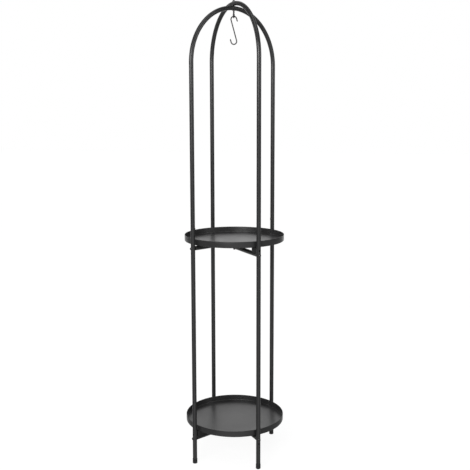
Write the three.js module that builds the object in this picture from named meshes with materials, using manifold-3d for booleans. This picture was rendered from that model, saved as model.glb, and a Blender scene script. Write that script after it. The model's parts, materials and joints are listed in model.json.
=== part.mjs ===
// Two-tier plant stand: two arches of round tube cross over one another and stand on four legs,
// two round trays rest on crossed bars between the legs, and a wire hook hangs under the crossing.
// Units are millimetres, +Z is up, and the origin is on the floor under the stand's upright axis.
import * as THREE from 'three';
import { mergeVertices } from 'three/addons/utils/BufferGeometryUtils.js';
import Module from 'manifold-3d';

const wasm = await Module();
wasm.setup();

// Driving dimensions
const TUBE_R = 7.5;               // outer radius of every frame tube
const WALL = 1.2;                 // tube wall thickness
const FIT = 0.3;                  // clearance between touching pieces
const LEG_RADIUS = 186.5;         // circle that the four leg axes stand on
const HALF_SPREAD = 37;           // degrees from the front direction to each front leg
const ARCH_TOP = 1590;            // top of the upper arch
const STACK = 2 * TUBE_R + FIT;   // height between two tubes that cross
const SEAM_Z = 838;               // where the arches plug into the legs
const TRAY_R = 175;               // outer radius of a tray
const TRAY_H = 21.5;              // height of a tray's rim
const TRAY_T = 1.5;               // tray sheet thickness
const TRAY_FILLET = 3.5;          // rounded corner between tray floor and rim
const UPPER_TRAY_Z = 772.5;       // underside of the upper tray
const LOWER_TRAY_Z = 115.5;       // underside of the lower tray
const BAR_DROP = 1.3;             // from a tray's underside to the top of the bar beneath it
const BOLT_R = 3;                 // M6 shanks
const BOLT_HOLE_R = 3.3;
const BOLT_GRIP = 18;             // length of a bolt inside its plug
const HEAD_R = 4.6;
const HEAD_H = 3.4;
const CENTRE_HEAD_H = 3;
const HEAD_GAP = 0.1;             // from a tube to the head of the screw in it
const PLUG_LENGTH = 22;
const SLEEVE_LENGTH = 70;
const SLEEVE_WALL = 1.4;
const JOINT_SCREW_R = 2;
const JOINT_SCREW_LENGTH = 4;
const JOINT_SCREW_HOLE_R = 2.3;
const JOINT_SCREW_DROP = 8;       // from the seam down to the joint screw
const JOINT_HEAD_R = 3.4;
const JOINT_HEAD_H = 2;
const RISER_LENGTH = 31;
const RISER_WIDTH = 12;
const RISER_OUTER = 177.5;        // outer end of a riser, measured from the axis
const RISER_BASE = 3;             // from the middle of a lower bar up to a riser's feet
const FOOT_R = 8.5;
const FOOT_H = 17;
const FOOT_FLOOR = 3;
const FOOT_ROUND = 3;             // rounded edge round the underside of a foot
const RIVET_BODY_R = 4.5;
const RIVET_HOLE_R = 4.8;
const RIVET_FLANGE_R = 6;
const RIVET_FLANGE_H = 0.8;
const RIVET_LENGTH = 10;
const RIVET_BORE_R = 3.2;
const RIVET_LIFT = 0.25;          // from the tube's crest to the rivet nut's flange
const BOLT_TOP_Z = 1602;          // upper end of the eye bolt
const RING_OUTER_R = 9;           // eye of the eye bolt
const RING_WIRE_R = 2.25;
const RING_BOTTOM_Z = 1533.7;
const RING_GAP = 0.15;            // between the eye and the hook that hangs in it
const HOOK_WIRE_R = 2;
const HOOK_BEND_R = 9.75;
const HOOK_BEND_SPACING = 73.6;   // height between the centres of the hook's two bends
const HOOK_FLARE = 16;            // degrees that each free end leans outwards
const HOOK_TIP_LENGTH = 11;
const HOOK_BEND_STEPS = 9;
const HOOK_SIDES = 8;
const TUBE_SIDES = 12;
const SMALL_SIDES = 10;
const TRAY_SIDES = 56;
const BEND_STEPS = 23;            // an odd number, so that the crest is a short flat

const innerR = TUBE_R - WALL;
const archCentreOver = ARCH_TOP - TUBE_R;
const archCentreUnder = archCentreOver - STACK;
const legInnerFace = LEG_RADIUS - TUBE_R;
const barHalf = legInnerFace - FIT;
const barTopZ = { upper: UPPER_TRAY_Z - BAR_DROP, lower: LOWER_TRAY_Z - BAR_DROP };
const barOverZ = { upper: barTopZ.upper - TUBE_R, lower: barTopZ.lower - TUBE_R };
const barUnderZ = { upper: barOverZ.upper - STACK, lower: barOverZ.lower - STACK };
const screwZ = SEAM_Z - JOINT_SCREW_DROP;
const boltX = LEG_RADIUS + TUBE_R + HEAD_GAP;
const boltLength = 2 * TUBE_R + FIT + BOLT_GRIP;
const drillReach = TUBE_R + 3;    // half the length of a drill that passes right through a tube

const coat = { color: 0x3a3a3c, roughness: 0.5, metalness: 0.25 };
const trayCoat = { color: 0x454547, roughness: 0.42, metalness: 0.3 };
const plastic = { color: 0x1b1b1c, roughness: 0.7, metalness: 0 };
const blackSteel = { color: 0x2c2c2e, roughness: 0.4, metalness: 0.6 };

const stand = new THREE.Group();

// A closed solid of revolution round Z, from an outline of [radius, height] points.
function turned(outline, sides) {
  const points = outline.map(([r, z]) => new THREE.Vector2(r, z));
  const geometry = new THREE.LatheGeometry(points, sides);
  geometry.rotateX(Math.PI / 2);
  return outward(geometry);
}

// A round bar or tube along Z, from z0 to z1.
function rod(radius, z0, z1, sides = SMALL_SIDES) {
  return turned([[0, z0], [radius, z0], [radius, z1], [0, z1]], sides);
}

function pipe(outer, inner, z0, z1, sides = TUBE_SIDES) {
  return turned([[inner, z0], [outer, z0], [outer, z1], [inner, z1], [inner, z0]], sides);
}

function withMergedPoints(geometry) {
  const bare = geometry.clone();
  bare.deleteAttribute('normal');
  bare.deleteAttribute('uv');
  return mergeVertices(bare, 1e-4);
}

function withoutThinTriangles(geometry) {
  const index = Array.from(geometry.index.array);
  const kept = [];
  for (let i = 0; i < index.length; i += 3) {
    const [a, b, c] = index.slice(i, i + 3);
    if (a !== b && b !== c && a !== c) kept.push(a, b, c);
  }
  geometry.setIndex(kept);
  return geometry;
}

function signedVolume(geometry) {
  const p = geometry.attributes.position;
  const index = geometry.index.array;
  const corners = [new THREE.Vector3(), new THREE.Vector3(), new THREE.Vector3()];
  let volume = 0;
  for (let i = 0; i < index.length; i += 3) {
    corners.forEach((corner, k) => corner.fromBufferAttribute(p, index[i + k]));
    const [a, b, c] = corners;
    volume += a.dot(b.cross(c)) / 6;
  }
  return volume;
}

// Merges shared points and turns every face outwards.
function outward(geometry) {
  const solid = withoutThinTriangles(withMergedPoints(geometry));
  if (signedVolume(solid) < 0) {
    const index = solid.index.array;
    for (let i = 0; i < index.length; i += 3) {
      [index[i + 1], index[i + 2]] = [index[i + 2], index[i + 1]];
    }
  }
  return solid;
}

function toSolid(geometry) {
  const mesh = new wasm.Mesh({
    numProp: 3,
    vertProperties: new Float32Array(geometry.attributes.position.array),
    triVerts: new Uint32Array(geometry.index.array),
  });
  return new wasm.Manifold(mesh);
}

function toGeometry(solid) {
  const mesh = solid.getMesh();
  const geometry = new THREE.BufferGeometry();
  geometry.setAttribute('position', new THREE.BufferAttribute(mesh.vertProperties, 3));
  geometry.setIndex(new THREE.BufferAttribute(mesh.triVerts, 1));
  return geometry;
}

function cut(geometry, tools) {
  let solid = toSolid(geometry);
  for (const tool of tools) solid = solid.subtract(toSolid(tool));
  return toGeometry(solid);
}

function joined(parts) {
  let solid = toSolid(parts[0]);
  for (const part of parts.slice(1)) solid = solid.add(toSolid(part));
  return toGeometry(solid);
}

// Turns a piece made along Z so that it points along +X or -X.
function alongX(geometry, side = 1) {
  return geometry.rotateY(side * Math.PI / 2);
}

function place(parent, name, geometry, material, x = 0, z = 0) {
  const mesh = new THREE.Mesh(geometry, new THREE.MeshStandardMaterial(material));
  mesh.name = name;
  mesh.position.set(x, 0, z);
  parent.add(mesh);
  return mesh;
}

// The arch's centre line: up one leg, over a half circle and down the other, in the XZ plane.
// Steps are spent on the bend, because the straight stretches need none.
class ArchLine extends THREE.Curve {
  constructor(crestZ) {
    super();
    this.bendZ = crestZ - LEG_RADIUS * Math.cos(Math.PI / 2 / BEND_STEPS);
  }

  turn(u) {
    const step = u * (BEND_STEPS + 2) - 1;
    return Math.PI * (1 - THREE.MathUtils.clamp(step / BEND_STEPS, 0, 1));
  }

  getPointAt(u, target = new THREE.Vector3()) {
    const angle = this.turn(u);
    const atEnd = u === 0 || u === 1;
    const z = atEnd ? SEAM_Z : this.bendZ + LEG_RADIUS * Math.sin(angle);
    return target.set(LEG_RADIUS * Math.cos(angle), 0, z);
  }

  getTangentAt(u, target = new THREE.Vector3()) {
    const angle = this.turn(u);
    return target.set(Math.sin(angle), 0, -Math.cos(angle));
  }
}

function ringShape(outer, inner) {
  const shape = new THREE.Shape();
  shape.absarc(0, 0, outer, 0, 2 * Math.PI);
  const hole = new THREE.Path();
  hole.absarc(0, 0, inner, 0, 2 * Math.PI, true);
  shape.holes.push(hole);
  return shape;
}

// A full circle in a shape is drawn with two points for each of its curve segments.
function swept(shape, path, steps, sides) {
  const settings = { steps, curveSegments: sides / 2, bevelEnabled: false, extrudePath: path };
  return outward(new THREE.ExtrudeGeometry(shape, settings));
}

// An arch has a small hole for the eye bolt in one wall and a wide one for its rivet nut in the other.
function archGeometry(crestZ, nutOnTop) {
  const tube = swept(ringShape(TUBE_R, innerR), new ArchLine(crestZ), BEND_STEPS + 2, TUBE_SIDES);
  const small = rod(BOLT_HOLE_R, crestZ - drillReach, crestZ + drillReach);
  const low = nutOnTop ? crestZ : crestZ - drillReach;
  return cut(tube, [small, rod(RIVET_HOLE_R, low, low + drillReach)]);
}

// A leg is drilled right through at four heights, two for each pair of bars, and once for its joint screw.
function legGeometry(side) {
  const base = FOOT_FLOOR + FIT;
  const holes = [barOverZ.upper, barUnderZ.upper, barOverZ.lower, barUnderZ.lower].map((z) => {
    const drill = alongX(rod(BOLT_HOLE_R, -drillReach, drillReach));
    return drill.translate(0, 0, z);
  });
  const screwHole = alongX(rod(JOINT_SCREW_HOLE_R, 0, drillReach), -side).translate(0, 0, screwZ);
  return cut(pipe(TUBE_R, innerR, base, SEAM_Z - FIT), [...holes, screwHole]);
}

function sleeveGeometry(side) {
  const half = SLEEVE_LENGTH / 2;
  const outer = innerR - FIT;
  const tube = pipe(outer, outer - SLEEVE_WALL, SEAM_Z - half, SEAM_Z + half, SMALL_SIDES);
  const hole = alongX(rod(JOINT_SCREW_HOLE_R, 0, TUBE_R), -side).translate(0, 0, screwZ);
  return cut(tube, [hole]);
}

// A screw along Z with its head above z = 0 and its shank below.
function domedScrew(headR, headH, shankR, length) {
  const outline = [[0, -length], [shankR, -length], [shankR, 0], [headR, 0]];
  outline.push([headR, 0.35 * headH], [0.75 * headR, 0.85 * headH]);
  outline.push([0.3 * headR, headH], [0, headH]);
  return turned(outline, SMALL_SIDES);
}

// The rounded lower corner of an outline that runs out along z = 0 and then up at the given radius.
function roundedCorner(radius, round) {
  return [0, 1, 2].map((i) => {
    const angle = (i / 2) * Math.PI / 2;
    return [radius - round + round * Math.sin(angle), round - round * Math.cos(angle)];
  });
}

function footGeometry() {
  const outline = [[0, 0], ...roundedCorner(FOOT_R, FOOT_ROUND), [FOOT_R, FOOT_H]];
  outline.push([TUBE_R + FIT, FOOT_H], [TUBE_R + FIT, FOOT_FLOOR], [0, FOOT_FLOOR]);
  return turned(outline, TUBE_SIDES);
}

// topHoleR is wide where a rivet nut sits in the bar's upper wall.
function barGeometry(topHoleR) {
  const tube = alongX(pipe(TUBE_R, innerR, -barHalf, barHalf));
  return cut(tube, [rod(BOLT_HOLE_R, -drillReach, 0), rod(topHoleR, 0, drillReach)]);
}

function plugGeometry(side) {
  const plug = pipe(innerR - FIT, BOLT_HOLE_R, 0, PLUG_LENGTH, SMALL_SIDES);
  return alongX(plug, -side).translate(side * barHalf, 0, 0);
}

// A riser sits astride the lower bar of a pair and carries the tray at the upper bar's height.
function riserGeometry(side) {
  const top = STACK + TUBE_R + BAR_DROP - FIT;
  const block = new THREE.BoxGeometry(RISER_LENGTH, RISER_WIDTH, top - RISER_BASE);
  block.translate(side * (RISER_OUTER - RISER_LENGTH / 2), 0, (top + RISER_BASE) / 2);
  const groove = alongX(rod(TUBE_R + FIT, -LEG_RADIUS, LEG_RADIUS, TUBE_SIDES));
  return cut(outward(block), [groove]);
}

// up is 1 where the flange is above the tube and -1 where it is below.
function rivetNutGeometry(up) {
  const base = up * (TUBE_R + RIVET_LIFT);
  const outline = [
    [RIVET_BORE_R, base + up * RIVET_FLANGE_H],
    [RIVET_FLANGE_R, base + up * RIVET_FLANGE_H],
    [RIVET_FLANGE_R, base],
    [RIVET_BODY_R, base],
    [RIVET_BODY_R, base - up * RIVET_LENGTH],
    [RIVET_BORE_R, base - up * RIVET_LENGTH],
    [RIVET_BORE_R, base + up * RIVET_FLANGE_H],
  ];
  return turned(outline, SMALL_SIDES);
}

function trayGeometry() {
  const inside = TRAY_R - TRAY_T;
  const innerBend = TRAY_FILLET - TRAY_T;
  const outline = [[0, 0], ...roundedCorner(TRAY_R, TRAY_FILLET), [TRAY_R, TRAY_H]];
  outline.push([inside, TRAY_H], [inside, TRAY_FILLET], [inside - innerBend, TRAY_T], [0, TRAY_T]);
  return turned(outline, TRAY_SIDES);
}

// One frame: an arch, its two legs, and the bar between them at each level.
// near is the leg on -X of the frame's own plane, and far is the one on +X.
function buildFrame({ arch, angle, crestZ, nutOnTop, near, far, upper, lower }) {
  const frame = new THREE.Group();
  frame.rotation.z = THREE.MathUtils.degToRad(angle);
  stand.add(frame);
  place(frame, `arch_${arch}`, archGeometry(crestZ, nutOnTop), coat);
  const nut = rivetNutGeometry(nutOnTop ? 1 : -1);
  place(frame, `rivet_nut_arch_${arch}`, nut, blackSteel, 0, crestZ);
  for (const [leg, side] of [[near, -1], [far, 1]]) {
    const x = side * LEG_RADIUS;
    place(frame, `leg_${leg}`, legGeometry(side), coat, x);
    place(frame, `foot_${leg}`, footGeometry(), plastic, x);
    place(frame, `joint_sleeve_${leg}`, sleeveGeometry(side), blackSteel, x);
    const screw = domedScrew(JOINT_HEAD_R, JOINT_HEAD_H, JOINT_SCREW_R, JOINT_SCREW_LENGTH);
    const screwX = x - side * (TUBE_R + HEAD_GAP);
    place(frame, `joint_screw_${leg}`, alongX(screw, -side), blackSteel, screwX, screwZ);
  }
  for (const [level, layer] of [['upper', upper], ['lower', lower]]) {
    const z = layer === 'over' ? barOverZ[level] : barUnderZ[level];
    const topHoleR = layer === 'over' ? RIVET_HOLE_R : BOLT_HOLE_R;
    place(frame, `${level}_bar_${layer}`, barGeometry(topHoleR), coat, 0, z);
    if (layer === 'over') {
      place(frame, `rivet_nut_${level}_bar`, rivetNutGeometry(1), blackSteel, 0, z);
    }
    for (const [leg, side] of [[near, -1], [far, 1]]) {
      place(frame, `${level}_plug_${leg}`, plugGeometry(side), plastic, 0, z);
      const bolt = alongX(domedScrew(HEAD_R, HEAD_H, BOLT_R, boltLength), side);
      place(frame, `${level}_bolt_${leg}`, bolt, blackSteel, side * boltX, z);
      if (layer === 'under') {
        place(frame, `${level}_riser_${leg}`, riserGeometry(side), plastic, 0, z);
      }
    }
  }
}

// The screw that joins a pair of bars: its head is under one bar and its end in the other's nut.
function centreScrewGeometry() {
  const length = 2 * TUBE_R + STACK + RIVET_FLANGE_H;
  return domedScrew(HEAD_R, CENTRE_HEAD_H, BOLT_R, length).rotateX(Math.PI);
}

function eyeBoltGeometry() {
  const ringR = RING_OUTER_R - RING_WIRE_R;
  const ring = new THREE.TorusGeometry(ringR, RING_WIRE_R, 8, 18).rotateY(Math.PI / 2);
  const centreZ = RING_BOTTOM_Z + RING_OUTER_R;
  const shank = rod(BOLT_R, centreZ + ringR, BOLT_TOP_Z);
  return joined([outward(ring.translate(0, 0, centreZ)), shank]);
}

// The hook's centre line, an S in the XZ plane that starts at the tip beside its upper bend.
// Each half is a straight tip, a bend and half of the long straight between the bends.
class HookLine extends THREE.Curve {
  constructor() {
    super();
    const flare = THREE.MathUtils.degToRad(HOOK_FLARE);
    const lean = Math.asin(2 * HOOK_BEND_R / HOOK_BEND_SPACING);
    const sweep = Math.PI + lean - flare;
    const half = [];
    for (let i = 0; i <= HOOK_BEND_STEPS; i += 1) {
      const angle = flare + (i / HOOK_BEND_STEPS) * sweep;
      const x = HOOK_BEND_R * Math.cos(angle);
      half.push(new THREE.Vector3(x, 0, HOOK_BEND_SPACING / 2 + HOOK_BEND_R * Math.sin(angle)));
    }
    const outwards = new THREE.Vector3(Math.sin(flare), 0, -Math.cos(flare));
    half.unshift(half[0].clone().addScaledVector(outwards, HOOK_TIP_LENGTH));
    const other = half.map((point) => point.clone().negate()).reverse();
    this.points = [...half, ...other];
  }

  nearest(u) {
    return Math.round(u * (this.points.length - 1));
  }

  getPointAt(u, target = new THREE.Vector3()) {
    return target.copy(this.points[this.nearest(u)]);
  }

  // The tangent at a corner halves the angle between the stretches that meet there.
  getTangentAt(u, target = new THREE.Vector3()) {
    const i = this.nearest(u);
    target.set(0, 0, 0);
    for (const [from, to] of [[i - 1, i], [i, i + 1]]) {
      if (from < 0 || to === this.points.length) continue;
      target.add(this.points[to].clone().sub(this.points[from]).normalize());
    }
    return target.normalize();
  }
}

function hookGeometry() {
  const line = new HookLine();
  const disc = new THREE.Shape();
  disc.absarc(0, 0, HOOK_WIRE_R, 0, 2 * Math.PI);
  return swept(disc, line, line.points.length - 1, HOOK_SIDES);
}

buildFrame({
  arch: 'over',
  angle: -90 + HALF_SPREAD,
  crestZ: archCentreOver,
  nutOnTop: true,
  near: 'back_left',
  far: 'front_right',
  upper: 'under',
  lower: 'over',
});
buildFrame({
  arch: 'under',
  angle: 90 - HALF_SPREAD,
  crestZ: archCentreUnder,
  nutOnTop: false,
  near: 'front_left',
  far: 'back_right',
  upper: 'over',
  lower: 'under',
});
for (const [level, z] of [['upper', UPPER_TRAY_Z], ['lower', LOWER_TRAY_Z]]) {
  place(stand, `${level}_tray`, trayGeometry(), trayCoat, 0, z);
  const headZ = barUnderZ[level] - TUBE_R - HEAD_GAP;
  place(stand, `${level}_centre_screw`, centreScrewGeometry(), blackSteel, 0, headZ);
}
place(stand, 'eye_bolt', eyeBoltGeometry(), blackSteel);
const hookTopZ = RING_BOTTOM_Z + 2 * RING_WIRE_R + RING_GAP + HOOK_WIRE_R;
const hookMiddleZ = hookTopZ - HOOK_BEND_R - HOOK_BEND_SPACING / 2;
place(stand, 'hanging_hook', hookGeometry(), blackSteel, 0, hookMiddleZ);

export default stand;
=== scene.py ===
"""A two-tier plant stand: crossed arches of round tube on four legs, two round trays and a hanging hook.

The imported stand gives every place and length. This script puts a finely made piece over each of its
parts and adds the finishes, floor, light and camera. Metres, +Z up, floor at z = 0, front towards -Y.
"""
import json
import math

import bmesh
import bpy
from mathutils import Matrix, Vector


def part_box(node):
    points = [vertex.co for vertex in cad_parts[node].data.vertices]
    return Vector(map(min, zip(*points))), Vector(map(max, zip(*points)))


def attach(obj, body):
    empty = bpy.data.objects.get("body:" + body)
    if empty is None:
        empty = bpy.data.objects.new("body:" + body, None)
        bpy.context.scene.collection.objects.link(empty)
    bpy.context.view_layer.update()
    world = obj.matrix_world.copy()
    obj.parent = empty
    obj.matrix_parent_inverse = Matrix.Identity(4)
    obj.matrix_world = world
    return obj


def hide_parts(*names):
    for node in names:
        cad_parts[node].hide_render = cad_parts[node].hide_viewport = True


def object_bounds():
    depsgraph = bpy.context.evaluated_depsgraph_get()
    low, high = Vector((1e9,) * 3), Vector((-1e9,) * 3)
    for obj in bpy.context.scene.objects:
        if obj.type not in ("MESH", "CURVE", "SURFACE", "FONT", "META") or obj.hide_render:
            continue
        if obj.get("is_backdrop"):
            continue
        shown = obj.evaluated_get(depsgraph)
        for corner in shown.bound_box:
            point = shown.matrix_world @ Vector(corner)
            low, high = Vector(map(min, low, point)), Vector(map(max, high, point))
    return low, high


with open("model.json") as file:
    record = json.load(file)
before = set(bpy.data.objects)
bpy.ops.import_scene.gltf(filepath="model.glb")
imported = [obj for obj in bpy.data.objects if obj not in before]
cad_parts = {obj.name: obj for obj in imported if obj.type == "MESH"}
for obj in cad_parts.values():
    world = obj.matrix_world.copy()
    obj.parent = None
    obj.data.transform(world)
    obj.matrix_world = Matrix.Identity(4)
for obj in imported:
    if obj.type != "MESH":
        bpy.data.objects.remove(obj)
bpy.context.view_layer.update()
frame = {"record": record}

MM = 0.001
MICRON = 0.000001

TUBE_R = 7.5 * MM
TUBE_BORE = 6.3 * MM           # radius inside the tube
TUBE_EDGE = 0.25 * MM          # eased edge at a cut tube end
FIT = 0.3 * MM                 # gap between pieces that touch
DRILL_REACH = TUBE_R + 3 * MM  # how far a drill runs from a tube's axis

BOLT_R = 3 * MM
BOLT_HOLE_R = 3.3 * MM
BOLT_THREAD = 18 * MM
BOLT_SOCKET = 2.2 * MM         # half the width across the corners of the hexagon socket
HEAD_R = 4.6 * MM
HEAD_H = 3.4 * MM
HEAD_GAP = 0.1 * MM            # gap under a screw head
CENTRE_HEAD_H = 3 * MM
CENTRE_THREAD = 0.6            # threaded share of a centre screw
THREAD_PITCH = 1 * MM
THREAD_DEPTH = 0.5 * MM
THREAD_STEPS = 6               # rings to a turn

JOINT_HEAD_R = 3.4 * MM
JOINT_HEAD_H = 2 * MM
JOINT_SCREW_R = 2 * MM
JOINT_SCREW_LENGTH = 4 * MM
JOINT_THREAD = 2.5 * MM
JOINT_SCREW_HOLE_R = 2.3 * MM
JOINT_SOCKET = 1.5 * MM
SLEEVE_WALL = 1.4 * MM

RIVET_BODY_R = 4.5 * MM
RIVET_HOLE_R = 4.8 * MM
RIVET_FLANGE_R = 6 * MM
RIVET_FLANGE_H = 0.8 * MM
RIVET_BORE_R = 3.2 * MM
PLUG_LENGTH = 22 * MM

FOOT_ROUND = 3 * MM
FOOT_FLOOR = 3 * MM
FOOT_COLLAR = 1.8 * MM
FOOT_WAIST = 0.25 * MM         # how far the side of a foot lies inside its collar

TRAY_T = 1.5 * MM
TRAY_FILLET = 3.5 * MM
RISER_LENGTH = 31 * MM
RISER_END = 177.5 * MM         # from the stand's axis
RISER_HALF_WIDTH = 6 * MM
RISER_EDGE = 0.8 * MM

RING_WIRE_R = 2.25 * MM
RING_OUTER_R = 9 * MM
HOOK_WIRE_R = 2 * MM
HOOK_BEND_R = 9.75 * MM
HOOK_FLARE = math.radians(16)
HOOK_TIP_LENGTH = 11 * MM

TUBE_SIDES = 64
DRILL_SIDES = 48
SCREW_SIDES = 36
WIRE_SIDES = 24
TRAY_SIDES = 240
BEND_STEPS = 120
RING_STEPS = 72
HOOK_STEPS = 40
SHARP = math.radians(38)       # an edge that turns further than this stays crisp

# Each frame is one arch, its two legs and a bar at each level, which lies over or under the other bar.
FRAMES = {
    "over": {"legs": ("back_left", "front_right"), "upper": "under", "lower": "over"},
    "under": {"legs": ("front_left", "back_right"), "upper": "over", "lower": "under"},
}

record = frame["record"]
body_of = {n: body for body, nodes in record["behaviour"]["bodies"].items() for n in nodes}
slot_of = {part["node"]: part["material_slot"] for part in record["subparts"]}


def centre(node):
    low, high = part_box(node)
    return (low + high) / 2


def shown(obj):
    bpy.context.scene.collection.objects.link(obj)
    return obj


# Shapes


def circle(radius, z, sides):
    angles = (2 * math.pi * k / sides for k in range(sides))
    return [Vector((radius * math.cos(a), radius * math.sin(a), z)) for a in angles]


def hexagon(half_width, z, sides):
    """A six-cornered ring with its points evenly spread; half_width is measured to a corner."""
    points = []
    for k in range(sides):
        a = 2 * math.pi * k / sides
        off_middle = a % (math.pi / 3) - math.pi / 6
        r = half_width * math.cos(math.pi / 6) / math.cos(off_middle)
        points.append(Vector((r * math.cos(a), r * math.sin(a), z)))
    return points


def thread_rings(radius, z0, z1, sides):
    """Rings of a right-hand screw thread, eased at its lower end."""
    count = max(2, round((z1 - z0) / THREAD_PITCH * THREAD_STEPS))
    rings = []
    for i in range(count + 1):
        z = z0 + (z1 - z0) * i / count
        chamfer = max(0, THREAD_DEPTH - (z - z0)) * 0.9
        ring = []
        for k in range(sides):
            turn = (z / THREAD_PITCH - k / sides) % 1
            valley = THREAD_DEPTH * abs(2 * turn - 1)
            r = radius - max(valley, chamfer)
            a = 2 * math.pi * k / sides
            ring.append(Vector((r * math.cos(a), r * math.sin(a), z)))
        rings.append(ring)
    return rings


def arc(middle_r, middle_z, radius, start, end, steps):
    """Outline points (r, z) on an arc, with its angles in degrees."""
    points = []
    for i in range(steps + 1):
        a = math.radians(start + (end - start) * i / steps)
        points.append((middle_r + radius * math.cos(a), middle_z + radius * math.sin(a)))
    return points


def smoothed(mesh):
    """Faces turned outwards and shaded smooth, with real corners kept crisp."""
    edit = bmesh.new()
    edit.from_mesh(mesh)
    bmesh.ops.remove_doubles(edit, verts=edit.verts, dist=1e-7)
    bmesh.ops.recalc_face_normals(edit, faces=edit.faces)
    for face in edit.faces:
        face.smooth = True
    for edge in edit.edges:
        edge.smooth = len(edge.link_faces) == 2 and edge.calc_face_angle() < SHARP
    edit.to_mesh(mesh)
    edit.free()
    return mesh


def skin(rings, loop=False):
    """A closed mesh over rings of points. A ring of one point is a pole, and open ends are capped."""
    points = [p for ring in rings for p in ring]
    starts = [0]
    for ring in rings[:-1]:
        starts.append(starts[-1] + len(ring))
    last = len(rings) - 1
    pairs = [(i, i + 1) for i in range(last)]
    if loop:
        pairs.append((last, 0))
    faces = []
    for a, b in pairs:
        count_a, count_b = len(rings[a]), len(rings[b])
        for k in range(max(count_a, count_b)):
            corners = [starts[a] + k % count_a, starts[a] + (k + 1) % count_a,
                       starts[b] + (k + 1) % count_b, starts[b] + k % count_b]
            faces.append(list(dict.fromkeys(corners)))
    if not loop:
        for i in (0, last):
            if len(rings[i]) > 1:
                faces.append(list(range(starts[i], starts[i] + len(rings[i]))))
    mesh = bpy.data.meshes.new("skin")
    mesh.from_pydata(points, [], faces)
    return smoothed(mesh)


def turned(outline, sides=TUBE_SIDES):
    """A solid of revolution round Z from an outline of (radius, height) points."""
    closed = outline[0] == outline[-1]
    points = outline[:-1] if closed else outline
    rings = [[Vector((0, 0, z))] if r == 0 else circle(r, z, sides) for r, z in points]
    return skin(rings, loop=closed)


def pipe(outer, bore, z0, z1, edge=TUBE_EDGE):
    outline = [(bore, z0), (outer - edge, z0), (outer, z0 + edge), (outer, z1 - edge),
               (outer - edge, z1), (bore, z1), (bore, z0)]
    return turned(outline)


def drill(radius, z0, z1, turn=Matrix()):
    mesh = turned([(0, z0), (radius, z0), (radius, z1), (0, z1)], DRILL_SIDES)
    mesh.transform(turn)
    return mesh


def combined(mesh, tools, operation="DIFFERENCE"):
    """The mesh with the tools cut out of it, or joined to it with UNION."""
    body = shown(bpy.data.objects.new("body", mesh))
    others = [shown(bpy.data.objects.new("tool", tool)) for tool in tools]
    for other in others:
        modifier = body.modifiers.new("combine", "BOOLEAN")
        modifier.operation = operation
        modifier.solver = "EXACT"
        modifier.object = other
    bpy.context.view_layer.update()
    graph = bpy.context.evaluated_depsgraph_get()
    result = bpy.data.meshes.new_from_object(body.evaluated_get(graph))
    for obj in [body, *others]:
        bpy.data.objects.remove(obj)
    return smoothed(result)


def sweep(line, radii):
    """Rings round a line that lies in the XZ plane; line holds (point, direction) pairs."""
    across = Vector((0, 1, 0))
    rings = []
    for (point, direction), radius in zip(line, radii):
        up = direction.cross(across)
        ring = circle(radius, 0, TUBE_SIDES)
        rings.append([point + up * p.x + across * p.y for p in ring])
    return rings


ALONG_X = Matrix.Rotation(math.pi / 2, 4, "Y")
ALONG_MINUS_X = Matrix.Rotation(-math.pi / 2, 4, "Y")
UPSIDE_DOWN = Matrix.Rotation(math.pi, 4, "X")


def screw(head_r, head_h, shank_r, length, thread, socket):
    """A button-head screw along Z with a hexagon socket, its head above z = 0 and its shank below."""
    skirt = 0.28 * head_h
    flat_r = socket + 0.35 * MM
    crown = []
    for i in range(9):
        a = math.pi / 2 * i / 8
        crown.append((flat_r + (head_r - flat_r) * math.cos(a), skirt + (head_h - skirt) * math.sin(a)))
    thread_end = -length + thread
    shank = [(shank_r, thread_end + 0.3 * MM), (shank_r, 0)]
    rim = [(head_r - 0.2 * MM, 0), (head_r, 0.2 * MM)]
    floor_z = head_h - 0.55 * head_h
    recess = [(socket + 0.1 * MM, head_h), (socket, head_h - 0.15 * MM), (socket, floor_z)]
    rings = [[Vector((0, 0, -length))]]
    rings += thread_rings(shank_r, -length, thread_end, SCREW_SIDES)
    rings += [circle(r, z, SCREW_SIDES) for r, z in shank + rim + crown]
    rings += [hexagon(r, z, SCREW_SIDES) for r, z in recess]
    rings.append([Vector((0, 0, floor_z - 0.4 * socket))])
    return skin(rings)


def leg_mesh(low, high, bolt_heights, screw_z):
    """A leg round its own axis, with local +X pointing away from the stand's middle."""
    drills = [drill(BOLT_HOLE_R, -DRILL_REACH, DRILL_REACH, Matrix.Translation((0, 0, z)) @ ALONG_X)
              for z in bolt_heights]
    screw_hole = Matrix.Translation((0, 0, screw_z)) @ ALONG_MINUS_X
    drills.append(drill(JOINT_SCREW_HOLE_R, 0, DRILL_REACH, screw_hole))
    return combined(pipe(TUBE_R, TUBE_BORE, low, high), drills)


def sleeve_mesh(low, high, screw_z):
    outer = TUBE_BORE - FIT
    screw_hole = Matrix.Translation((0, 0, screw_z)) @ ALONG_MINUS_X
    sleeve = pipe(outer, outer - SLEEVE_WALL, low, high, edge=0.5 * MM)
    return combined(sleeve, [drill(JOINT_SCREW_HOLE_R, 0, TUBE_R, screw_hole)])


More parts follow.
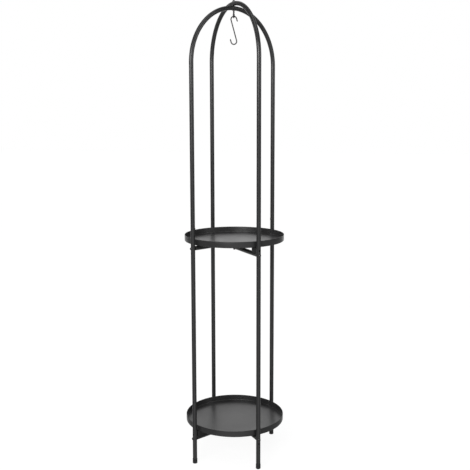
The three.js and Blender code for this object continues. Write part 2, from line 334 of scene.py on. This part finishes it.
def arch_mesh(seam, top, span, nut_on_top):
    """An arch in the XZ plane: up one leg, over a half circle and down the other."""
    crest = top - TUBE_R
    bend_z = crest - span
    up = Vector((0, 0, 1))
    line = [(Vector((-span, 0, z)), up) for z in (seam, seam + TUBE_EDGE)]
    for i in range(BEND_STEPS + 1):
        a = math.pi * (1 - i / BEND_STEPS)
        point = Vector((span * math.cos(a), 0, bend_z + span * math.sin(a)))
        line.append((point, Vector((math.sin(a), 0, -math.cos(a)))))
    line += [(Vector((span, 0, z)), -up) for z in (seam + TUBE_EDGE, seam)]
    outer = [TUBE_R] * len(line)
    outer[0] = outer[-1] = TUBE_R - TUBE_EDGE
    rings = sweep(line, outer) + sweep(line, [TUBE_BORE] * len(line))[::-1]
    low = crest if nut_on_top else crest - DRILL_REACH
    drills = [drill(BOLT_HOLE_R, crest - DRILL_REACH, crest + DRILL_REACH),
              drill(RIVET_HOLE_R, low, low + DRILL_REACH)]
    return combined(skin(rings, loop=True), drills)


def bar_mesh(half, top_hole_r):
    """A bar along X through the origin, drilled up its middle."""
    tube = pipe(TUBE_R, TUBE_BORE, -half, half)
    tube.transform(ALONG_X)
    return combined(tube, [drill(BOLT_HOLE_R, -DRILL_REACH, 0), drill(top_hole_r, 0, DRILL_REACH)])


def plug_mesh(length):
    """A threaded plug along Z with three raised grip rings."""
    outer = TUBE_BORE - FIT
    ease = 0.3 * MM
    outline = [(BOLT_HOLE_R, 0), (outer - ease, 0), (outer, ease)]
    for share in (0.25, 0.5, 0.75):
        z = length * share
        outline += [(outer, z - 1.2 * MM), (outer - 0.4 * MM, z - 0.8 * MM),
                    (outer - 0.4 * MM, z + 0.8 * MM), (outer, z + 1.2 * MM)]
    outline += [(outer, length - 0.8 * MM), (outer - 0.8 * MM, length),
                (BOLT_HOLE_R, length), (BOLT_HOLE_R, 0)]
    return turned(outline)


def riser_mesh(inner, outer, high):
    """A block along X with eased edges and a groove beneath it that sits on the bar."""
    groove_r = TUBE_R + FIT
    edge = RISER_EDGE

    def section(x, inset):
        side = RISER_HALF_WIDTH - inset
        top = high - inset
        groove = groove_r + inset
        reach = math.asin(min(1, side / groove))
        ring = []
        for i in range(17):
            a = -reach + 2 * reach * i / 16
            ring.append(Vector((x, groove * math.sin(a), groove * math.cos(a))))
        for middle_y, start in ((side - edge, 0), (edge - side, 90)):
            for y, z in arc(middle_y, top - edge, edge, start, start + 90, 5):
                ring.append(Vector((x, y, z)))
        return ring

    ease = 0.5 * MM
    places = [(inner, ease), (inner + 0.3 * ease, 0.3 * ease), (inner + ease, 0),
              (outer - ease, 0), (outer - 0.3 * ease, 0.3 * ease), (outer, ease)]
    return skin([section(x, inset) for x, inset in places])


def foot_mesh(outer, height):
    """A moulded cap: a rounded tread, a slightly drawn-in side and a collar round its mouth."""
    waist = outer - FOOT_WAIST
    mouth = TUBE_R + FIT
    collar = height - FOOT_COLLAR
    lip = 0.3 * MM
    outline = [(0, 0)] + arc(outer - FOOT_ROUND, FOOT_ROUND, FOOT_ROUND, -90, 0, 10)
    outline += [(outer, FOOT_ROUND + 0.5 * MM), (waist, FOOT_ROUND + 1.3 * MM),
                (waist, collar - 0.5 * MM), (outer, collar)]
    outline += arc(outer - lip, height - lip, lip, 0, 90, 4)
    outline += [(mouth, height - 0.1 * MM), (mouth, FOOT_FLOOR), (0, FOOT_FLOOR)]
    return turned(outline)


def rivet_nut_mesh(length):
    """A rivet nut with its flange above z = 0 and its body below."""
    edge = 0.25 * MM
    waist = RIVET_BODY_R - 0.3 * MM
    outline = [(RIVET_BORE_R + edge, RIVET_FLANGE_H)]
    outline += arc(RIVET_FLANGE_R - edge, RIVET_FLANGE_H - edge, edge, 90, 0, 4)
    outline += [(RIVET_FLANGE_R, 0), (RIVET_BODY_R, 0), (RIVET_BODY_R, -0.35 * length),
                (waist, -0.45 * length), (waist, -0.55 * length), (RIVET_BODY_R, -0.65 * length),
                (RIVET_BODY_R, -length + edge), (RIVET_BODY_R - edge, -length), (RIVET_BORE_R, -length),
                (RIVET_BORE_R, RIVET_FLANGE_H - edge), (RIVET_BORE_R + edge, RIVET_FLANGE_H)]
    return turned(outline)


def tray_mesh(outer, height):
    """A tray with a rounded foot to its rim and a rounded lip."""
    inside = outer - TRAY_T
    bend = TRAY_FILLET - TRAY_T
    lip = TRAY_T / 2
    outline = [(0, 0), (0.5 * outer, 0)]
    outline += arc(outer - TRAY_FILLET, TRAY_FILLET, TRAY_FILLET, -90, 0, 8)
    outline += arc(outer - lip, height - lip, lip, 0, 180, 8)
    outline += arc(inside - bend, TRAY_T + bend, bend, 0, -90, 8)
    outline += [(0.5 * outer, TRAY_T), (0, TRAY_T)]
    return turned(outline, TRAY_SIDES)


def eye_bolt_mesh(ring_bottom, ring_r, top):
    """A closed ring in the YZ plane, welded to the end of a threaded rod."""
    middle = Vector((0, 0, ring_bottom + ring_r + RING_WIRE_R))
    wire = circle(RING_WIRE_R, 0, WIRE_SIDES)
    ring = []
    for i in range(RING_STEPS):
        a = 2 * math.pi * i / RING_STEPS
        out = Vector((0, math.cos(a), math.sin(a)))
        ring.append([middle + out * (ring_r + p.x) + Vector((p.y, 0, 0)) for p in wire])
    shoulder = middle.z + ring_r + RING_WIRE_R
    rod = [[Vector((0, 0, top))]]
    for turn in thread_rings(BOLT_R, -top, -shoulder - 2 * MM, SCREW_SIDES):
        rod.append([Vector((p.x, -p.y, -p.z)) for p in turn])
    neck = [(BOLT_R, shoulder + 1.6 * MM), (BOLT_R - 0.1 * MM, shoulder + 0.6 * MM),
            (BOLT_R - 0.5 * MM, shoulder - 0.8 * MM)]
    for r, z in neck:
        rod.append([Vector((p.x, -p.y, p.z)) for p in circle(r, z, SCREW_SIDES)])
    rod.append([Vector((0, 0, middle.z + ring_r))])
    return combined(skin(ring, loop=True), [skin(rod)], "UNION")


def hook_mesh(low, high):
    """An S of round wire in the XZ plane, its ends rounded off."""
    spacing = (high - low) - 2 * (HOOK_BEND_R + HOOK_WIRE_R)
    lean = math.asin(2 * HOOK_BEND_R / spacing)
    sweep_angle = math.pi + lean - HOOK_FLARE
    middle = Vector((0, 0, (high + low) / 2))
    bend = []
    for i in range(HOOK_STEPS + 1):
        a = HOOK_FLARE + sweep_angle * i / HOOK_STEPS
        point = Vector((HOOK_BEND_R * math.cos(a), 0, spacing / 2 + HOOK_BEND_R * math.sin(a)))
        bend.append((point, Vector((-math.sin(a), 0, math.cos(a))), HOOK_WIRE_R))
    start, direction, _ = bend[0]
    tip = start - direction * HOOK_TIP_LENGTH
    dome = []
    for i in range(7):
        a = math.pi / 2 * i / 6
        point = tip + direction * HOOK_WIRE_R * (1 - math.cos(a))
        dome.append((point, direction, HOOK_WIRE_R * max(0.05, math.sin(a))))
    first = dome + bend
    whole = first + [(-p, d, r) for p, d, r in reversed(first)]
    return skin(sweep([(middle + p, d) for p, d, _ in whole], [r for _, _, r in whole]))


# Finishes

CLOUD_SCALE = 14      # noise cells to the metre: cloudy tone, rubbed patches of an edge and dust patches
RUB_SCALE = 160
DUST_SCALE = 45
EDGE_REACH = 0.5 * MM
DUST_COLOUR = (0.30, 0.29, 0.27, 1)


def add(tree, kind, inputs=None, **settings):
    """A shader node with its settings made and its inputs set or linked."""
    made = tree.nodes.new(kind)
    for name, value in settings.items():
        setattr(made, name, value)
    for socket, value in (inputs or {}).items():
        if isinstance(value, bpy.types.NodeSocket):
            tree.links.new(value, made.inputs[socket])
        else:
            made.inputs[socket].default_value = value
    return made


def noise(tree, place, scale, detail=2.0, roughness=0.5, stretch=None):
    if stretch:
        place = add(tree, "ShaderNodeVectorMath", {0: place, 1: stretch}, operation="MULTIPLY").outputs[0]
    inputs = {"Vector": place, "Scale": scale, "Detail": detail, "Roughness": roughness}
    return add(tree, "ShaderNodeTexNoise", inputs).outputs["Fac"]


def remap(tree, value, low, high, to_low=0.0, to_high=1.0):
    inputs = {"Value": value, "From Min": low, "From Max": high, "To Min": to_low, "To Max": to_high}
    return add(tree, "ShaderNodeMapRange", inputs, interpolation_type="SMOOTHSTEP").outputs["Result"]


def mixed(tree, factor, first, second):
    inputs = {"Factor": factor, 6: first, 7: second}
    return add(tree, "ShaderNodeMix", inputs, data_type="RGBA").outputs[2]


def aligned(tree, first, second):
    """The cosine of the angle between two directions."""
    inputs = {0: first, 1: second}
    return add(tree, "ShaderNodeVectorMath", inputs, operation="DOT_PRODUCT").outputs["Value"]


def math_node(tree, operation, first, second):
    inputs = {0: first, 1: second}
    return add(tree, "ShaderNodeMath", inputs, operation=operation, use_clamp=True).outputs[0]


def grey(value, blue=1.02):
    return (value, value, value * blue, 1)


def finish(name, tone, worn, dust, roughness, grain, peel, metallic=0.0, specular=0.5, stretch=None):
    """A dark finish: cloudy tone, fine grain, orange peel, rubbed edges and dust on what faces up.

    grain and peel are (cells to the metre, height in metres); dust is the most that settles.
    """
    material = bpy.data.materials.new(name)
    material.use_nodes = True
    tree = material.node_tree
    shader = tree.nodes["Principled BSDF"]
    shader.inputs["Metallic"].default_value = metallic
    shader.inputs["Specular IOR Level"].default_value = specular

    where = add(tree, "ShaderNodeTexCoord").outputs["Object"]
    own = add(tree, "ShaderNodeObjectInfo").outputs["Random"]
    shift = add(tree, "ShaderNodeVectorMath", {0: own, "Scale": 7.0}, operation="SCALE").outputs[0]
    place = add(tree, "ShaderNodeVectorMath", {0: where, 1: shift}, operation="ADD").outputs[0]

    cloud = noise(tree, place, CLOUD_SCALE, detail=4, stretch=stretch)
    fine = noise(tree, place, grain[0], detail=3, roughness=0.65)
    peeled = noise(tree, place, peel[0], detail=1)

    normal = add(tree, "ShaderNodeNewGeometry").outputs["Normal"]
    eased = add(tree, "ShaderNodeBevel", {"Radius": EDGE_REACH}, samples=6).outputs[0]
    edge = remap(tree, aligned(tree, normal, eased), 0.985, 0.86)
    patchy = remap(tree, noise(tree, place, RUB_SCALE, detail=3), 0.42, 0.62)
    rubbed = math_node(tree, "MULTIPLY", edge, patchy)

    upward = add(tree, "ShaderNodeSeparateXYZ", {0: normal}).outputs["Z"]
    dust_patches = remap(tree, noise(tree, place, DUST_SCALE, detail=5), 0.35, 0.7, 0.35, 1.0)
    settled = math_node(tree, "MULTIPLY", remap(tree, upward, 0.3, 1.0), dust_patches)
    dusty = math_node(tree, "MULTIPLY", settled, dust)

    tone_map = mixed(tree, remap(tree, cloud, 0.3, 0.7), grey(tone * 0.86), grey(tone * 1.14))
    speckled = mixed(tree, remap(tree, fine, 0.35, 0.75, 0.0, 0.35), tone_map, grey(tone * 1.5))
    with_wear = mixed(tree, rubbed, speckled, grey(worn, 1.0))
    with_dust = mixed(tree, dusty, with_wear, DUST_COLOUR)
    tree.links.new(with_dust, shader.inputs["Base Color"])

    cloud_share = math_node(tree, "MULTIPLY", cloud, 0.6)
    fine_share = math_node(tree, "MULTIPLY", fine, 0.4)
    uneven = math_node(tree, "ADD", cloud_share, fine_share)
    rough = remap(tree, uneven, 0.3, 0.7, roughness[0], roughness[1])
    rough = math_node(tree, "ADD", rough, math_node(tree, "MULTIPLY", dusty, 0.8))
    tree.links.new(rough, shader.inputs["Roughness"])

    coarse = {"Height": peeled, "Distance": peel[1], "Strength": 1.0}
    coarse_bump = add(tree, "ShaderNodeBump", coarse).outputs[0]
    bump = {"Height": fine, "Distance": grain[1], "Strength": 1.0, "Normal": coarse_bump}
    tree.links.new(add(tree, "ShaderNodeBump", bump).outputs[0], shader.inputs["Normal"])
    return material


FINISHES = {
    "frame_coat": finish(
        "frame_coat", tone=0.020, worn=0.08, dust=0.02, roughness=(0.26, 0.34),
        grain=(1500, 2.5 * MICRON), peel=(420, 7 * MICRON), stretch=(1, 1, 0.35)),
    "tray_coat": finish(
        "tray_coat", tone=0.022, worn=0.09, dust=0.02, roughness=(0.28, 0.36),
        grain=(1500, 2.5 * MICRON), peel=(380, 5 * MICRON)),
    "black_hardware": finish(
        "black_hardware", tone=0.09, worn=0.40, dust=0.02, roughness=(0.20, 0.30),
        grain=(2600, 4 * MICRON), peel=(900, 6 * MICRON), metallic=1.0),
    "hook_steel": finish(
        "hook_steel", tone=0.020, worn=0.10, dust=0.02, roughness=(0.30, 0.42),
        grain=(2200, 4 * MICRON), peel=(700, 8 * MICRON), stretch=(1, 1, 0.3)),
    "black_plastic": finish(
        "black_plastic", tone=0.014, worn=0.04, dust=0.05, roughness=(0.48, 0.62),
        grain=(2800, 10 * MICRON), peel=(1300, 10 * MICRON), specular=0.4),
}


def piece(node, mesh, place=Matrix()):
    """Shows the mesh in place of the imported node, on the same body and with the node's own finish."""
    obj = shown(bpy.data.objects.new("fine_" + node, mesh))
    mesh.materials.clear()
    mesh.materials.append(FINISHES[slot_of[node]])
    obj.matrix_world = place
    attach(obj, body_of[node])
    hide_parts(node)
    return obj


# The stand


def height(node):
    return centre(node).z


def towards(leg):
    """A turn about Z that points local +X from the stand's middle to the leg."""
    spot = centre("leg_" + leg)
    return Matrix.Rotation(math.atan2(spot.y, spot.x), 4, "Z")


leg_radius = centre("leg_front_right").xy.length
bar_half = leg_radius - TUBE_R - FIT


def make_arch(arch, turn):
    low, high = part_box(f"arch_{arch}")
    nut_on_top = arch == "over"
    piece(f"arch_{arch}", arch_mesh(low.z, high.z, leg_radius, nut_on_top), turn)
    low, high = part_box(f"rivet_nut_arch_{arch}")
    nut = rivet_nut_mesh(high.z - low.z - RIVET_FLANGE_H)
    if nut_on_top:
        nut_place = Matrix.Translation((0, 0, high.z - RIVET_FLANGE_H))
    else:
        nut_place = Matrix.Translation((0, 0, low.z + RIVET_FLANGE_H)) @ UPSIDE_DOWN
    piece(f"rivet_nut_arch_{arch}", nut, nut_place)


def make_leg(leg):
    turn = towards(leg)
    out = turn @ Matrix.Translation((leg_radius, 0, 0))
    low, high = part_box("leg_" + leg)
    screw_z = height("joint_screw_" + leg)
    bars = [f"{level}_bar_{layer}" for level in ("upper", "lower") for layer in ("over", "under")]
    piece("leg_" + leg, leg_mesh(low.z, high.z, [height(bar) for bar in bars], screw_z), out)
    low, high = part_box("joint_sleeve_" + leg)
    piece("joint_sleeve_" + leg, sleeve_mesh(low.z, high.z, screw_z), out)
    low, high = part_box("foot_" + leg)
    piece("foot_" + leg, foot_mesh((high.x - low.x) / 2, high.z), out)
    joint_screw = screw(JOINT_HEAD_R, JOINT_HEAD_H, JOINT_SCREW_R, JOINT_SCREW_LENGTH, JOINT_THREAD,
                        JOINT_SOCKET)
    screw_place = turn @ Matrix.Translation((leg_radius - TUBE_R - HEAD_GAP, 0, screw_z)) @ ALONG_MINUS_X
    piece("joint_screw_" + leg, joint_screw, screw_place)


def make_bar(level, layer, turn, legs):
    """A bar with the rivet nut, plugs, bolts and risers that go with it."""
    bar = f"{level}_bar_{layer}"
    at_height = Matrix.Translation((0, 0, height(bar)))
    top_hole_r = RIVET_HOLE_R if layer == "over" else BOLT_HOLE_R
    piece(bar, bar_mesh(bar_half, top_hole_r), at_height @ turn)
    if layer == "over":
        low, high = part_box(f"rivet_nut_{level}_bar")
        nut = rivet_nut_mesh(high.z - low.z - RIVET_FLANGE_H)
        piece(f"rivet_nut_{level}_bar", nut, Matrix.Translation((0, 0, high.z - RIVET_FLANGE_H)))
    for leg in legs:
        leg_turn = at_height @ towards(leg)
        plug_place = leg_turn @ Matrix.Translation((bar_half, 0, 0)) @ ALONG_MINUS_X
        piece(f"{level}_plug_{leg}", plug_mesh(PLUG_LENGTH), plug_place)
        bolt_length = 2 * TUBE_R + FIT + BOLT_THREAD
        bolt = screw(HEAD_R, HEAD_H, BOLT_R, bolt_length, BOLT_THREAD, BOLT_SOCKET)
        bolt_place = leg_turn @ Matrix.Translation((leg_radius + TUBE_R + HEAD_GAP, 0, 0)) @ ALONG_X
        piece(f"{level}_bolt_{leg}", bolt, bolt_place)
        if layer == "under":
            riser = f"{level}_riser_{leg}"
            low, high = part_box(riser)
            block = riser_mesh(RISER_END - RISER_LENGTH, RISER_END, high.z - height(bar))
            piece(riser, block, leg_turn)


for arch, parts in FRAMES.items():
    frame_turn = towards(parts["legs"][1])
    make_arch(arch, frame_turn)
    for leg in parts["legs"]:
        make_leg(leg)
    for level in ("upper", "lower"):
        make_bar(level, parts[level], frame_turn, parts["legs"])

for level in ("upper", "lower"):
    low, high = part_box(f"{level}_tray")
    piece(f"{level}_tray", tray_mesh(high.x, high.z - low.z), Matrix.Translation((0, 0, low.z)))
    low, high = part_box(f"{level}_centre_screw")
    length = high.z - low.z - CENTRE_HEAD_H
    centre_screw = screw(HEAD_R, CENTRE_HEAD_H, BOLT_R, length, CENTRE_THREAD * length, BOLT_SOCKET)
    screw_place = Matrix.Translation((0, 0, low.z + CENTRE_HEAD_H)) @ UPSIDE_DOWN
    piece(f"{level}_centre_screw", centre_screw, screw_place)

low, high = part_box("eye_bolt")
piece("eye_bolt", eye_bolt_mesh(low.z, RING_OUTER_R - RING_WIRE_R, high.z))
low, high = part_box("hanging_hook")
piece("hanging_hook", hook_mesh(low.z, high.z))


# Floor, light and camera

FLOOR_REACH = 20

# The strength of the grey that surrounds the stand, below and above the horizon.
AMBIENT = (0.34, 0.12)

# Soft patches in it: azimuth from the front, elevation, radius of the full part, outer radius, strength.
PATCHES = (
    (191, 10, 18, 50, 0.95),    # the lit backdrop, on the far side from the camera
    (11, -25, 10, 45, 0.45),    # the lit floor, on the near side
    (48, 14, 12, 34, 0.32),     # the studio's right
)

floor_mesh = bpy.data.meshes.new("floor")
corners = [(x * FLOOR_REACH, y * FLOOR_REACH, 0) for x, y in ((-1, -1), (1, -1), (1, 1), (-1, 1))]
floor_mesh.from_pydata(corners, [], [(0, 1, 2, 3)])
floor = shown(bpy.data.objects.new("floor", floor_mesh))
floor_paint = bpy.data.materials.new("pale_floor")
floor_paint.use_nodes = True
floor_shader = floor_paint.node_tree.nodes["Principled BSDF"]
floor_shader.inputs["Base Color"].default_value = (0.15, 0.15, 0.15, 1)
floor_shader.inputs["Roughness"].default_value = 0.9
floor_shader.inputs["Emission Color"].default_value = (1, 1, 1, 1)
floor_shader.inputs["Emission Strength"].default_value = 0.90
floor_mesh.materials.append(floor_paint)
floor.visible_glossy = False
floor.visible_diffuse = False
floor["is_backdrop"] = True


def heading(azimuth, elevation=0):
    """The direction from the stand to an azimuth and elevation in degrees; azimuth 0 is the front."""
    a, e = math.radians(azimuth), math.radians(elevation)
    return Vector((math.sin(a) * math.cos(e), -math.cos(a) * math.cos(e), math.sin(e)))


# The studio looks white, and what the stand reflects of it is the grey and its patches.
world = bpy.data.worlds.new("studio")
bpy.context.scene.world = world
world.use_nodes = True
sky = world.node_tree
background = sky.nodes["Background"]
direction = add(sky, "ShaderNodeTexCoord").outputs["Generated"]


def lit_patch(azimuth, elevation, inner, outer, level):
    nearness = aligned(sky, direction, tuple(heading(azimuth, elevation)))
    return remap(sky, nearness, math.cos(math.radians(outer)), math.cos(math.radians(inner)), 0.0, level)


upness = add(sky, "ShaderNodeSeparateXYZ", {0: direction}).outputs["Z"]
glow = remap(sky, upness, -0.25, 0.1, AMBIENT[0], AMBIENT[1])
for patch in PATCHES:
    glow = add(sky, "ShaderNodeMath", {0: glow, 1: lit_patch(*patch)}, operation="ADD").outputs[0]
seen = add(sky, "ShaderNodeLightPath").outputs["Is Camera Ray"]
strength = add(sky, "ShaderNodeMix", {0: seen, 2: glow, 3: 1.0}, data_type="FLOAT").outputs[0]
sky.links.new(strength, background.inputs["Strength"])
background.inputs["Color"].default_value = (1, 1, 1, 1)


def lamp(name, kind, power, back):
    """A lamp that shines away from the direction back."""
    data = bpy.data.lights.new(name, kind)
    data.energy = power
    made = shown(bpy.data.objects.new(name, data))
    made.rotation_mode = "QUATERNION"
    made.rotation_quaternion = back.to_track_quat("Z", "Y")
    return made


def sun(name, azimuth, elevation, angle, power):
    made = lamp(name, "SUN", power, heading(azimuth, elevation))
    made.data.angle = math.radians(angle)


PANEL_DISTANCE = 3.4
PANEL_AIM = Vector((0, 0, 1.1))


def panel(name, azimuth, z, width, tall, power):
    """A soft box beside the stand that faces its upper half."""
    place = heading(azimuth) * PANEL_DISTANCE + Vector((0, 0, z))
    made = lamp(name, "AREA", power, place - PANEL_AIM)
    made.location = place
    made.data.shape = "RECTANGLE"
    made.data.size = width
    made.data.size_y = tall
    made.visible_camera = False


sun("overhead", 11, 70, 50, 0.8)
panel("front_soft_box", -12, 2.1, 2.4, 1.2, 80)
panel("right_soft_box", 78, 2.0, 1.2, 1.2, 22)
panel("left_soft_box", 268, 1.95, 0.8, 1.0, 14)

bpy.context.scene.view_settings.view_transform = "Standard"

CAMERA_AZIMUTH = math.radians(11.37)
CAMERA_DISTANCE = 2.709
CAMERA_HEIGHT = 1.224
CAMERA_SIDESTEP = 0.0025
CAMERA_TILT = math.radians(8.07)
CAMERA_ROLL = math.radians(-0.13)
camera = shown(bpy.data.objects.new("camera", bpy.data.cameras.new("camera")))
camera.data.lens = 59.6
camera.data.sensor_width = 36
camera.data.shift_y = -0.03
around = Matrix.Rotation(CAMERA_AZIMUTH, 4, "Z")
stand_off = Matrix.Translation((CAMERA_SIDESTEP, -CAMERA_DISTANCE, CAMERA_HEIGHT))
aim = Matrix.Rotation(math.pi / 2 - CAMERA_TILT, 4, "X") @ Matrix.Rotation(CAMERA_ROLL, 4, "Z")
camera.matrix_world = around @ stand_off @ aim
bpy.context.scene.camera = camera

low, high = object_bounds()
